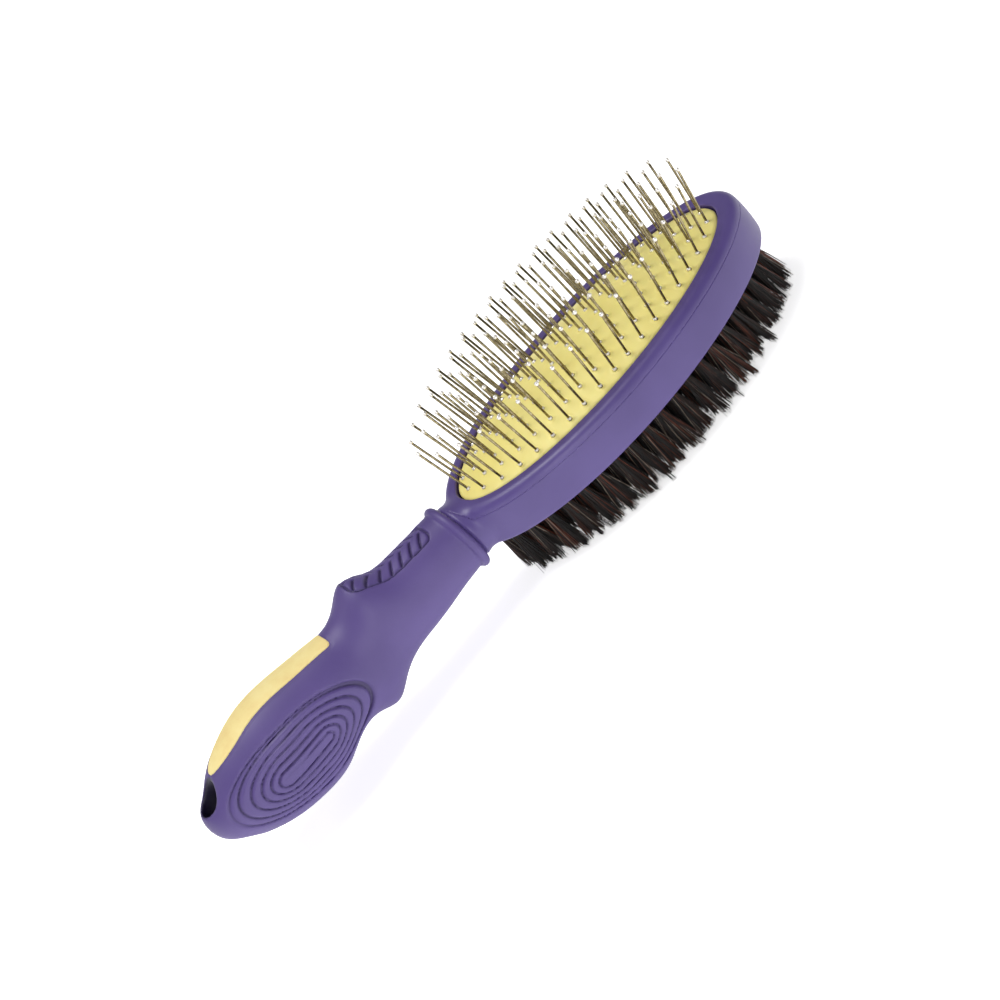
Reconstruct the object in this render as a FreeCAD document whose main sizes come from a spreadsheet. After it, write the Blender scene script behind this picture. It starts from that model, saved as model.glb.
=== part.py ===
import FreeCAD, Part
import Sketcher
import math
import os

# Double-sided grooming brush: ball pins in a rubber air cushion on the +Z side, bristle tufts
# in a drilled plate on the -Z side, and a soft grip moulded over the frame's tang.
# The origin is the centre of the hang hole on the grip's axis, and +X runs towards the head's tip.

doc = FreeCAD.newDocument("bristle_brush")
sheet = doc.addObject("Spreadsheet::Sheet", "Sizes")

SIZES = [
    # Head: an oval frame, its mid-plane on the grip's axis.
    ("head_half_length", 62.0),
    ("head_half_width", 30.5),
    ("head_half_height", 7.5),
    ("wall", 3.0),                  # frame wall around the cushion's flange and the bristle plate
    ("web", 1.5),                   # floor between the air chamber and the bristle plate
    # Bezel: the oval ring that clamps the cushion.
    ("bezel_height", 3.0),
    ("bezel_rim_end", 5.4),         # rim from the head's outline to the cushion, at the two ends
    ("bezel_rim_side", 5.5),        # the same along the sides
    ("bezel_round", 2.2),
    ("fit_gap", 0.3),               # clearance round each moulded insert
    # Cushion: a rubber dome with a flange under the bezel.
    ("dome_rise", 6.5),
    ("dome_step", 0.7),             # the dome's edge sits this far below the bezel's top
    ("skin", 1.2),
    ("flange", 1.5),
    # Pins: nail-headed wires with ball ends.
    ("pin_radius", 0.5),
    ("ball_radius", 0.85),
    ("pin_reach", 20.0),            # from the dome's surface to the ball's centre
    ("pin_foot_radius", 1.4),
    ("pin_foot", 0.5),
    ("pin_gap", 0.3),
    ("pin_pitch", 6.2),
    ("pin_inset", 4.7),             # from the cushion's outline to the outer ring
    ("pin_rings", 4.0),             # oval rings outside the centre row
    ("pin_row_setback", 9.0),       # from the innermost ring's end to the centre row's end
    # Bristle plate and its tufts.
    ("plate_sink", 0.5),            # the plate's face is this far inside the frame's lower edge
    ("tuft_radius", 1.3),
    ("tuft_spread", 2.6),           # radius of a tuft at its tips
    ("tuft_reach", 18.5),           # from the plate's face to the tips
    ("tuft_depth", 3.2),
    ("plate_back", 1.3),            # plate left behind the blind holes
    ("tuft_pitch", 6.3),
    ("tuft_inset", 3.0),            # from the plate's outline to the outer ring
    ("tuft_rings", 4.0),
    ("tuft_row_setback", 18.5),
    ("tuft_lean", 2.2),             # how far the outer ring's tips stand outside their holes
    ("staple_height", 0.8),
    ("staple_thickness", 0.5),
    ("staple_gap", 0.3),            # from a staple's end to its hole's wall
    # Grip, measured from its butt.
    ("grip_length", 108.0),
    ("butt_to_hole", 6.3),
    ("hole_radius", 3.5),
    ("hole_straight", 5.5),         # half the length of the hole's straight wall
    ("lip_height", 9.0),
    ("lip_flare", 3.6),
    ("collar_width", 3.0),
    ("collar_radius", 11.7),
    ("tang_half_width", 6.0),
    ("tang_half_height", 4.5),
    ("tang_wall", 6.0),             # grip between the hang hole and the tang's end
    # Neck between the collar and the head.
    ("neck_length", 2.0),
    ("neck_half_width", 10.3),
    ("neck_half_height", 9.8),
    # Inlay: a pale strip let into the grip's upper side, measured from the butt.
    ("inlay_start", 16.0),
    ("inlay_point", 27.0),
    ("inlay_end", 62.0),
    ("inlay_half_width", 7.4),
    ("inlay_floor", 8.0),
    ("inlay_cutter", 20.0),         # the pocket's cutter rises this far above its floor
]

# Grip sections: share of the grip's length from the butt, half width, height of the top and
# depth of the bottom. The top has a thumb stop at 0.70 and the bottom a finger stop at 0.59.
GRIP_SECTIONS = [
    (0.000, 3.0, 3.0, 3.0),
    (0.031, 6.5, 7.5, 8.0),
    (0.074, 9.0, 10.6, 11.4),
    (0.125, 11.5, 14.2, 14.4),
    (0.194, 13.6, 17.2, 17.3),
    (0.287, 15.0, 19.1, 19.1),
    (0.380, 14.8, 18.2, 18.3),
    (0.472, 13.3, 16.3, 14.8),
    (0.532, 12.3, 14.9, 15.5),
    (0.588, 11.7, 13.8, 18.0),
    (0.648, 11.3, 15.8, 14.8),
    (0.704, 11.0, 19.2, 12.4),
    (0.740, 10.8, 18.0, 11.7),
    (0.785, 10.7, 14.6, 11.3),
    (0.852, 10.5, 12.8, 11.1),
    (0.935, 10.3, 11.9, 10.4),
    (1.000, 10.2, 11.2, 10.3),
]

# Neck sections: distance from the collar, half width and half height.
NECK_SECTIONS = [
    (4.0, 10.2, 8.6),
    (9.0, 12.0, 7.4),
    (16.0, 14.0, 6.4),
]

# Lengths worked out from the sizes, as expressions.
HEAD_X = (
    "(Sizes.grip_length + Sizes.collar_width + Sizes.neck_length"
    " + Sizes.head_half_length - Sizes.butt_to_hole)"
)
COLLAR_X = "(Sizes.grip_length - Sizes.butt_to_hole)"
NECK_X = "(Sizes.grip_length + Sizes.collar_width - Sizes.butt_to_hole)"
PAD_HALF_LENGTH = "(Sizes.head_half_length - Sizes.bezel_rim_end)"
PAD_HALF_WIDTH = "(Sizes.head_half_width - Sizes.bezel_rim_side)"
SEAT_HALF_LENGTH = "(Sizes.head_half_length - Sizes.wall)"
SEAT_HALF_WIDTH = "(Sizes.head_half_width - Sizes.wall)"
DOME_HALF_LENGTH = f"({PAD_HALF_LENGTH} - Sizes.fit_gap)"
DOME_HALF_WIDTH = f"({PAD_HALF_WIDTH} - Sizes.fit_gap)"
BEZEL_Z = "(Sizes.head_half_height - Sizes.bezel_height)"
FLANGE_Z = f"({BEZEL_Z} - Sizes.flange)"
DOME_Z = "(Sizes.head_half_height - Sizes.dome_step)"
PLATE_HEIGHT = "(Sizes.tuft_depth + Sizes.staple_height + Sizes.plate_back)"
PLATE_Z = "(Sizes.plate_sink - Sizes.head_half_height)"
WEB_Z = f"({PLATE_Z} + {PLATE_HEIGHT})"
CHAMBER_Z = f"({WEB_Z} + Sizes.web)"
# A sphere of this radius has a cap as wide as the dome and as high as its rise.
DOME_RADIUS = f"(({DOME_HALF_WIDTH} ^ 2 + Sizes.dome_rise ^ 2) / (2 * Sizes.dome_rise))"

UP = FreeCAD.Vector(0, 0, 1)
ACROSS = FreeCAD.Vector(0, 1, 0)
LEFT = FreeCAD.Vector(0, -1, 0)
ALONG = FreeCAD.Vector(1, 0, 0)
TOLERANCE = 1e-4

for row, (alias, value) in enumerate(SIZES, start=1):
    sheet.set(f"A{row}", alias)
    sheet.set(f"B{row}", str(value))
    sheet.setAlias(f"B{row}", alias)
for number, values in enumerate(GRIP_SECTIONS):
    row = len(SIZES) + 1 + number
    sheet.set(f"A{row}", f"grip section {number}")
    for column, field, value in zip("BCDE", ("share", "width", "top", "bottom"), values):
        sheet.set(f"{column}{row}", str(value))
        sheet.setAlias(f"{column}{row}", f"grip{number}_{field}")
for number, values in enumerate(NECK_SECTIONS):
    row = len(SIZES) + len(GRIP_SECTIONS) + 1 + number
    sheet.set(f"A{row}", f"neck section {number}")
    for column, field, value in zip("BCD", ("along", "width", "height"), values):
        sheet.set(f"{column}{row}", str(value))
        sheet.setAlias(f"{column}{row}", f"neck{number}_{field}")
doc.recompute()


def bind(thing, **expressions):
    """Binds properties to expressions; a double underscore in a name stands for a dot."""
    for name, expression in expressions.items():
        thing.setExpression(name.replace("__", "."), expression)


def value_of(expression):
    """The number that an expression of the sheet's cells comes to."""
    return float(sheet.evalExpression(expression))


def oval(name, half_length, half_width, height):
    """An ellipse in a level plane, centred under the head."""
    ellipse = doc.addObject("Part::Ellipse", name)
    bind(ellipse, MajorRadius=half_length, MinorRadius=half_width)
    bind(ellipse, Placement__Base__x=HEAD_X, Placement__Base__z=height)
    return ellipse


def oval_prism(name, half_length, half_width, bottom, height):
    """An upright oval block, centred on the head."""
    prism = doc.addObject("Part::Extrusion", name)
    prism.Base = oval(name + "_outline", half_length, half_width, bottom)
    prism.DirMode = "Custom"
    prism.Dir = FreeCAD.Vector(0, 0, 1)
    prism.Solid = True
    bind(prism, LengthFwd=height)
    return prism


def upright_oval(name, place, half_width, top, bottom):
    """An ellipse in a plane across the grip's axis, from its bottom to its top."""
    ellipse = doc.addObject("Part::Ellipse", name)
    half_height = f"(({top} + {bottom}) / 2)"
    if value_of(half_height) >= value_of(half_width):
        ellipse.Placement.Rotation = FreeCAD.Rotation(UP, LEFT, ALONG, "ZXY")
        bind(ellipse, MajorRadius=half_height, MinorRadius=half_width)
    else:
        ellipse.Placement.Rotation = FreeCAD.Rotation(ACROSS, UP, ALONG, "ZXY")
        bind(ellipse, MajorRadius=half_width, MinorRadius=half_height)
    bind(ellipse, Placement__Base__x=place, Placement__Base__z=f"({top} - {bottom}) / 2")
    return ellipse


def loft(name, sections):
    """A solid through the given outlines."""
    solid = doc.addObject("Part::Loft", name)
    solid.Sections = sections
    solid.Solid = True
    return solid


def fuse(name, *shapes):
    joined = doc.addObject("Part::MultiFuse", name)
    joined.Shapes = list(shapes)
    joined.Refine = True
    return joined


def cut(name, base, *tools):
    """The base with every tool taken away, one after the other."""
    for number, tool in enumerate(tools, start=1):
        last = number == len(tools)
        left = doc.addObject("Part::Cut", name if last else f"{name}_cut_{number}")
        left.Base = base
        left.Tool = tool
        base = left
    return base


def shape_feature(name, solids):
    """A group of separate solids, worked out from the sheet."""
    feature = doc.addObject("Part::Feature", name)
    feature.Shape = Part.makeCompound(solids)
    feature.Placement = FreeCAD.Placement()
    return feature


def round_edges(name, base, radius, chosen):
    """Rounds the edges of the base that the test picks."""
    doc.recompute()
    picked = [number for number, edge in enumerate(base.Shape.Edges, start=1) if chosen(edge)]
    rounded = doc.addObject("Part::Fillet", name)
    rounded.Base = base
    rounded.Edges = [(number, radius, radius) for number in picked]
    return rounded


def outer_edge_at(height, half_length):
    """Picks the level edge that runs round the head's outline at the height."""
    def chosen(edge):
        box = edge.BoundBox
        level = abs(box.ZMin - height) < TOLERANCE and abs(box.ZMax - height) < TOLERANCE
        return level and box.XLength > 2 * half_length - TOLERANCE
    return chosen


def oval_points(half_length, half_width, pitch, shift):
    """Points about a pitch apart along an oval, as many as fit round it; shift is in pitches."""
    steps = 720
    angles = [2 * math.pi * step / steps for step in range(steps + 1)]
    run = [0.0]
    for first, second in zip(angles, angles[1:]):
        across = half_width * (math.sin(second) - math.sin(first))
        along = half_length * (math.cos(second) - math.cos(first))
        run.append(run[-1] + math.hypot(along, across))
    count = max(round(run[-1] / pitch), 3)
    points = []
    for number in range(count):
        target = (number + shift) % count * run[-1] / count
        place = next(index for index, length in enumerate(run) if length >= target)
        angle = angles[place]
        points.append((half_length * math.cos(angle), half_width * math.sin(angle)))
    return points


def row_points(half_length, pitch):
    """Points about a pitch apart along the head's length."""
    count = round(2 * half_length / pitch) + 1
    step = 2 * half_length / (count - 1)
    return [(-half_length + number * step, 0.0) for number in range(count)]


def ring_layout(half_length, half_width, rings, pitch, setback):
    """The points of each oval ring, outermost first, and last of the row inside the innermost."""
    spacing = half_width / rings
    layout = []
    for ring in range(rings):
        length = half_length - ring * spacing
        width = half_width - ring * spacing
        layout.append(oval_points(length, width, pitch, ring % 2 / 2))
    layout.append(row_points(half_length - (rings - 1) * spacing - setback, pitch))
    return layout


def head_frame(bar):
    """The oval frame with its neck and tang, hollow on both sides of a web."""
    block = oval_prism(
        "frame_block", "Sizes.head_half_length", "Sizes.head_half_width",
        "-Sizes.head_half_height", "2 * Sizes.head_half_height - Sizes.bezel_height")
    sections = [upright_oval(
        "neck_start", NECK_X, "Sizes.neck_half_width",
        "Sizes.neck_half_height", "Sizes.neck_half_height")]
    for number in range(len(NECK_SECTIONS)):
        height = f"Sizes.neck{number}_height"
        place = f"({NECK_X} + Sizes.neck{number}_along)"
        sections.append(upright_oval(
            f"neck_section_{number}", place, f"Sizes.neck{number}_width", height, height))
    neck = loft("neck", sections)
    whole = fuse("frame_solid", block, neck, bar)
    above = oval_prism(
        "bezel_space", "Sizes.head_half_length", "Sizes.head_half_width",
        BEZEL_Z, "2 * Sizes.head_half_height")
    seat = oval_prism("flange_seat", SEAT_HALF_LENGTH, SEAT_HALF_WIDTH, FLANGE_Z, "Sizes.flange")
    chamber = oval_prism(
        "air_chamber", PAD_HALF_LENGTH, PAD_HALF_WIDTH, CHAMBER_Z, f"{BEZEL_Z} - {CHAMBER_Z}")
    recess = oval_prism(
        "plate_recess", SEAT_HALF_LENGTH, SEAT_HALF_WIDTH,
        "-2 * Sizes.head_half_height", f"{WEB_Z} + 2 * Sizes.head_half_height")
    return cut("head_frame", whole, above, seat, chamber, recess)


def tang():
    """The bar that runs from the neck through the grip, short of the hang hole."""
    bar = doc.addObject("Part::Box", "tang")
    start = "(Sizes.hole_radius + Sizes.tang_wall)"
    bind(bar, Length=f"{NECK_X} - {start} + Sizes.neck_length", Width="2 * Sizes.tang_half_width")
    bind(bar, Height="2 * Sizes.tang_half_height", Placement__Base__x=start)
    bind(bar, Placement__Base__y="-Sizes.tang_half_width", Placement__Base__z="-Sizes.tang_half_height")
    return bar


def cushion_bezel():
    """The ring that clamps the cushion's flange to the frame."""
    block = oval_prism(
        "bezel_block", "Sizes.head_half_length", "Sizes.head_half_width",
        BEZEL_Z, "Sizes.bezel_height")
    top_edge = outer_edge_at(value_of("Sizes.head_half_height"), value_of("Sizes.head_half_length"))
    block = round_edges("bezel_block_rounded", block, value_of("Sizes.bezel_round"), top_edge)
    opening = oval_prism(
        "bezel_opening", PAD_HALF_LENGTH, PAD_HALF_WIDTH, BEZEL_Z, "Sizes.bezel_height")
    return cut("cushion_bezel", block, opening)


def dome_cap(name, inset):
    """A ball's cap stretched along the head to the cushion's oval, inset all over by a skin."""
    ball = doc.addObject("Part::Sphere", name + "_ball")
    bind(ball, Radius=f"{DOME_RADIUS} - {inset}")
    bind(ball, Angle1=f"asin(({DOME_RADIUS} - Sizes.dome_rise) / ({DOME_RADIUS} - {inset}))")
    cap = doc.addObject("Part::Scale", name)
    cap.Base = ball
    cap.Uniform = False
    cap.YScale = 1.0
    cap.ZScale = 1.0
    bind(cap, XScale=f"{DOME_HALF_LENGTH} / {DOME_HALF_WIDTH}", Placement__Base__x=HEAD_X)
    bind(cap, Placement__Base__z=f"{DOME_Z} - {DOME_RADIUS} + Sizes.dome_rise")
    return cap


def cushion_membrane():
    """The rubber dome with its flange, thin all over, and a hole for every pin."""
    flange = oval_prism(
        "membrane_flange", f"({SEAT_HALF_LENGTH} - Sizes.fit_gap)",
        f"({SEAT_HALF_WIDTH} - Sizes.fit_gap)", FLANGE_Z, "Sizes.flange")
    wall = oval_prism(
        "membrane_wall", DOME_HALF_LENGTH, DOME_HALF_WIDTH, FLANGE_Z, f"{DOME_Z} - {FLANGE_Z}")
    outside = fuse("membrane_outside", flange, wall, dome_cap("membrane_dome", "0"))
    hollow_wall = oval_prism(
        "membrane_hollow_wall", f"({DOME_HALF_LENGTH} - Sizes.skin)",
        f"({DOME_HALF_WIDTH} - Sizes.skin)", FLANGE_Z, f"{DOME_Z} - {FLANGE_Z}")
    hollow_dome = dome_cap("membrane_hollow_dome", "Sizes.skin")
    holes = shape_feature("pin_holes", pin_holes())
    return cut("cushion_membrane", outside, hollow_wall, hollow_dome, holes)


def dome_point(along, across):
    """The dome's surface over a point of its oval, and the way it faces there."""
    radius = value_of(DOME_RADIUS)
    stretch = value_of(DOME_HALF_WIDTH) / value_of(DOME_HALF_LENGTH)
    rise = math.sqrt(radius ** 2 - (along * stretch) ** 2 - across ** 2)
    height = value_of(DOME_Z) - radius + value_of("Sizes.dome_rise") + rise
    facing = FreeCAD.Vector(along * stretch ** 2, across, rise).normalize()
    return FreeCAD.Vector(value_of(HEAD_X) + along, across, height), facing


def placed(shape, point, facing):
    """A copy of a shape made along +Z, moved to the point and turned to face its way."""
    copy = shape.copy()
    copy.Placement = FreeCAD.Placement(point, FreeCAD.Rotation(UP, facing))
    return copy


def pin_layout():
    """Where the pins stand: the outer rings first and the centre row last."""
    inset = value_of("Sizes.pin_inset")
    return ring_layout(
        value_of(PAD_HALF_LENGTH) - inset, value_of(PAD_HALF_WIDTH) - inset,
        round(value_of("Sizes.pin_rings")), value_of("Sizes.pin_pitch"),
        value_of("Sizes.pin_row_setback"))


def pin():
    """One pin along +Z, with the dome's surface at zero: ball, wire and a foot inside the dome."""
    radius = value_of("Sizes.pin_radius")
    reach = value_of("Sizes.pin_reach")
    depth = value_of("Sizes.skin + Sizes.pin_gap + Sizes.pin_foot")
    wire = Part.makeCylinder(radius, reach + depth, FreeCAD.Vector(0, 0, -depth))
    ball = Part.makeSphere(value_of("Sizes.ball_radius"), FreeCAD.Vector(0, 0, reach))
    foot = Part.makeCylinder(
        value_of("Sizes.pin_foot_radius"), value_of("Sizes.pin_foot"), FreeCAD.Vector(0, 0, -depth))
    return wire.fuse([ball, foot]).removeSplitter()


def pin_holes():
    """The cutters for the membrane's pin holes."""
    radius = value_of("Sizes.pin_radius + Sizes.pin_gap")
    depth = 3 * value_of("Sizes.skin")
    cutter = Part.makeCylinder(radius, 2 * depth, FreeCAD.Vector(0, 0, -depth))
    return [placed(cutter, *dome_point(*point)) for ring in pin_layout() for point in ring]


def pins():
    """One group of pins for each ring, and one for the centre row."""
    groups = []
    one_pin = pin()
    for number, points in enumerate(pin_layout(), start=1):
        solids = [placed(one_pin, *dome_point(*point)) for point in points]
        groups.append(shape_feature(f"pins_ring_{number}", solids))
    groups[-1].Label = "pins_centre_row"
    return groups


def tuft_layout():
    """Where the tufts stand: the outer rings first and the centre row last."""
    inset = value_of("Sizes.tuft_inset")
    return ring_layout(
        value_of(SEAT_HALF_LENGTH) - inset, value_of(SEAT_HALF_WIDTH) - inset,
        round(value_of("Sizes.tuft_rings")), value_of("Sizes.tuft_pitch"),
        value_of("Sizes.tuft_row_setback"))


def tuft_place(along, across, height):
    return FreeCAD.Vector(value_of(HEAD_X) + along, across, height)


def bristle_plate():
    """The oval plate in the frame's underside, with a blind hole for every tuft."""
    plate = oval_prism(
        "plate_block", f"({SEAT_HALF_LENGTH} - Sizes.fit_gap)",
        f"({SEAT_HALF_WIDTH} - Sizes.fit_gap)", PLATE_Z, PLATE_HEIGHT)
    depth = value_of("Sizes.tuft_depth + Sizes.staple_height")
    drill = Part.makeCylinder(value_of("Sizes.tuft_radius"), depth)
    places = [tuft_place(*point, value_of(PLATE_Z)) for ring in tuft_layout() for point in ring]
    holes = shape_feature("tuft_holes", [placed(drill, place, UP) for place in places])
    return cut("bristle_plate", plate, holes)


def tuft(along, across, lean):
    """One tuft: a root in its hole, spreading to the tips, which stand outside it by the lean."""
    face = value_of(PLATE_Z)
    root = Part.makeCylinder(
        value_of("Sizes.tuft_radius"), value_of("Sizes.tuft_depth"), tuft_place(along, across, face))
    outward = FreeCAD.Vector(along, across, 0)
    if outward.Length > TOLERANCE:
        outward.normalize()
    mouth = tuft_place(along, across, face)
    tips = mouth + outward * lean - UP * value_of("Sizes.tuft_reach")
    narrow = Part.Wire(Part.makeCircle(value_of("Sizes.tuft_radius"), mouth, UP))
    wide = Part.Wire(Part.makeCircle(value_of("Sizes.tuft_spread"), tips, UP))
    return root.fuse(Part.makeLoft([narrow, wide], True)).removeSplitter()


def tufts():
    """One group of tufts for each ring, the outer ones leaning outwards, and the centre row."""
    groups = []
    layout = tuft_layout()
    for number, points in enumerate(layout, start=1):
        lean = value_of("Sizes.tuft_lean") * (1 - (number - 1) / (len(layout) - 1))
        groups.append(shape_feature(f"tufts_ring_{number}", [tuft(*point, lean) for point in points]))
    groups[-1].Label = "tufts_centre_row"
    return groups


def staples():
    """The flat anchors that hold the tufts' folds at the bottom of their holes."""
    groups = []
    width = 2 * value_of("Sizes.tuft_radius - Sizes.staple_gap")
    thickness = value_of("Sizes.staple_thickness")
    corner = FreeCAD.Vector(-width / 2, -thickness / 2, 0)
    staple = Part.makeBox(width, thickness, value_of("Sizes.staple_height"), corner)
    height = value_of(f"{PLATE_Z} + Sizes.tuft_depth")
    for number, points in enumerate(tuft_layout(), start=1):
        solids = [placed(staple, tuft_place(*point, height), UP) for point in points]
        groups.append(shape_feature(f"staples_ring_{number}", solids))
    groups[-1].Label = "staples_centre_row"
    return groups


def grip_outline():
    """The grip's outside, from the butt to the collar."""
    sections = []
    for number in range(len(GRIP_SECTIONS)):
        cells = f"Sizes.grip{number}_"
        place = f"({cells}share * Sizes.grip_length - Sizes.butt_to_hole)"
        sections.append(upright_oval(
            f"grip_section_{number}", place, cells + "width", cells + "top", cells + "bottom"))
    return loft("grip_outline", sections)


def hang_hole():
    """The hole through the grip, with a mouth that flares towards each side."""
    bore = doc.addObject("Part::Cylinder", "hang_hole")
    bind(bore, Radius="Sizes.hole_radius", Height="2 * Sizes.hole_straight")
    bind(bore, Placement__Base__z="-Sizes.hole_straight")
    upper = doc.addObject("Part::Cone", "upper_lip")
    bind(upper, Radius1="Sizes.hole_radius", Radius2="Sizes.hole_radius + Sizes.lip_flare")
    bind(upper, Height="Sizes.lip_height", Placement__Base__z="Sizes.hole_straight")
    lower = doc.addObject("Part::Cone", "lower_lip")
    bind(lower, Radius1="Sizes.hole_radius + Sizes.lip_flare", Radius2="Sizes.hole_radius")
    bind(lower, Height="Sizes.lip_height", Placement__Base__z="-Sizes.hole_straight - Sizes.lip_height")
    return fuse("hang_hole_cutter", bore, upper, lower)


def attached_sketch(body, name, role):
    """A sketch on one of the body's own origin planes."""
    plane = next(item for item in body.Origin.OriginFeatures if item.Role == role)
    sketch = body.newObject("Sketcher::SketchObject", name)
    sketch.AttachmentSupport = (plane, [""])
    sketch.MapMode = "FlatFace"
    return sketch


def name_last_constraint(sketch, constraint, name, expression):
    """Adds a dimension, names it and binds it to the sheet."""
    sketch.renameConstraint(sketch.addConstraint(constraint), name)
    sketch.setExpression("Constraints." + name, expression)


def collar():
    """The bead round the grip's head end, revolved about the grip's axis."""
    body = doc.addObject("PartDesign::Body", "collar")
    sketch = attached_sketch(body, "collar_profile", "XZ_Plane")
    start = value_of(COLLAR_X)
    width = value_of("Sizes.collar_width")
    shoulder = value_of("Sizes.collar_radius - Sizes.collar_width / 2")
    inner_start = FreeCAD.Vector(start, 0, 0)
    inner_end = FreeCAD.Vector(start + width, 0, 0)
    outer_end = FreeCAD.Vector(start + width, shoulder, 0)
    outer_start = FreeCAD.Vector(start, shoulder, 0)
    crown = FreeCAD.Vector(start + width / 2, shoulder + width / 2, 0)
    axis_line = sketch.addGeometry(Part.LineSegment(inner_start, inner_end))
    end_line = sketch.addGeometry(Part.LineSegment(inner_end, outer_end))
    bead = sketch.addGeometry(Part.Arc(outer_end, crown, outer_start))
    start_line = sketch.addGeometry(Part.LineSegment(outer_start, inner_start))
    sketch.addConstraint(Sketcher.Constraint("Coincident", axis_line, 2, end_line, 1))
    sketch.addConstraint(Sketcher.Constraint("Tangent", end_line, 2, bead, 1))
    sketch.addConstraint(Sketcher.Constraint("Tangent", bead, 2, start_line, 1))
    sketch.addConstraint(Sketcher.Constraint("Coincident", start_line, 2, axis_line, 1))
    sketch.addConstraint(Sketcher.Constraint("PointOnObject", axis_line, 1, -1))
    sketch.addConstraint(Sketcher.Constraint("PointOnObject", axis_line, 2, -1))
    sketch.addConstraint(Sketcher.Constraint("Vertical", end_line))
    sketch.addConstraint(Sketcher.Constraint("Vertical", start_line))
    name_last_constraint(
        sketch, Sketcher.Constraint("DistanceX", -1, 1, axis_line, 1, start), "start", COLLAR_X)
    name_last_constraint(
        sketch, Sketcher.Constraint("DistanceX", axis_line, 1, axis_line, 2, width),
        "width", "Sizes.collar_width")
    name_last_constraint(
        sketch, Sketcher.Constraint("DistanceY", end_line, 1, end_line, 2, shoulder),
        "shoulder", "Sizes.collar_radius - Sizes.collar_width / 2")
    turned = body.newObject("PartDesign::Revolution", "collar_bead")
    turned.Profile = sketch
    turned.ReferenceAxis = (sketch, ["H_Axis"])
    turned.Angle = 360
    return body


def inlay_block():
    """The upright block that cuts the inlay's pocket: pointed towards the butt, square in front."""
    body = doc.addObject("PartDesign::Body", "inlay_block")
    sketch = attached_sketch(body, "inlay_profile", "XY_Plane")
    sketch.setExpression(".AttachmentOffset.Base.z", "Sizes.inlay_floor")
    start = value_of("Sizes.inlay_start - Sizes.butt_to_hole")
    widest = value_of("Sizes.inlay_point - Sizes.butt_to_hole")
    end = value_of("Sizes.inlay_end - Sizes.butt_to_hole")
    half = value_of("Sizes.inlay_half_width")
    corners = [(start, 0), (widest, -half), (end, -half), (end, half), (widest, half)]
    points = [FreeCAD.Vector(along, across, 0) for along, across in corners]
    lines = []
    for first, second in zip(points, points[1:] + points[:1]):
        lines.append(sketch.addGeometry(Part.LineSegment(first, second)))
    for first, second in zip(lines, lines[1:] + lines[:1]):
        sketch.addConstraint(Sketcher.Constraint("Coincident", first, 2, second, 1))
    near, right, front, left, far = lines
    sketch.addConstraint(Sketcher.Constraint("PointOnObject", near, 1, -1))
    sketch.addConstraint(Sketcher.Constraint("Horizontal", right))
    sketch.addConstraint(Sketcher.Constraint("Horizontal", left))
    sketch.addConstraint(Sketcher.Constraint("Vertical", front))
    sketch.addConstraint(Sketcher.Constraint("Equal", near, far))
    name_last_constraint(
        sketch, Sketcher.Constraint("DistanceX", -1, 1, near, 1, start),
        "start", "Sizes.inlay_start - Sizes.butt_to_hole")
    name_last_constraint(
        sketch, Sketcher.Constraint("DistanceX", near, 1, near, 2, widest - start),
        "point", "Sizes.inlay_point - Sizes.inlay_start")
    name_last_constraint(
        sketch, Sketcher.Constraint("DistanceX", near, 1, right, 2, end - start),
        "length", "Sizes.inlay_end - Sizes.inlay_start")
    name_last_constraint(
        sketch, Sketcher.Constraint("DistanceY", front, 1, front, 2, 2 * half),
        "width", "2 * Sizes.inlay_half_width")
    pad = body.newObject("PartDesign::Pad", "inlay_pad")
    pad.Profile = sketch
    pad.setExpression("Length", "Sizes.inlay_cutter")
    return body


def grip_sleeve(outline, block, bar):
    """The soft grip over the tang, with its collar, its hang hole and the inlay's pocket."""
    whole = fuse("sleeve_solid", outline, collar())
    return cut("grip_sleeve", whole, bar, hang_hole(), block)


def grip_inlay(outline, block):
    """The strip that fills the pocket flush with the grip's upper side."""
    inlay = doc.addObject("Part::MultiCommon", "grip_inlay")
    inlay.Shapes = [block, outline]
    return inlay


def check(parts):
    """Stops the script if any object failed or any sub-part isn't a sound solid."""
    for item in doc.Objects:
        if "Invalid" in item.State or "Error" in item.State:
            raise RuntimeError(f"{item.Label} failed: {item.State}")
    for item in parts:
        if item.Shape.isNull() or not item.Shape.isValid() or not item.Shape.Solids:
            raise RuntimeError(f"{item.Label} has no sound shape")
    labels = [item.Label for item in parts]
    if len(set(labels)) != len(labels):
        raise RuntimeError("two sub-parts share a name")


def build():
    """Every sub-part of the brush, in one list."""
    tang_bar = tang()
    outline = grip_outline()
    block = inlay_block()
    parts = [head_frame(tang_bar), cushion_bezel(), cushion_membrane(), bristle_plate()]
    parts += pins() + tufts() + staples()
    parts += [grip_sleeve(outline, block, tang_bar), grip_inlay(outline, block)]
    doc.recompute()
    return parts


sub_parts = build()
check(sub_parts)
os.makedirs("parts", exist_ok=True)
for sub_part in sub_parts:
    sub_part.Shape.exportStep(f"parts/{sub_part.Label}.step")
    print(sub_part.Label, len(sub_part.Shape.Solids), "solids", round(sub_part.Shape.Volume, 1), "mm3")
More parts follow.
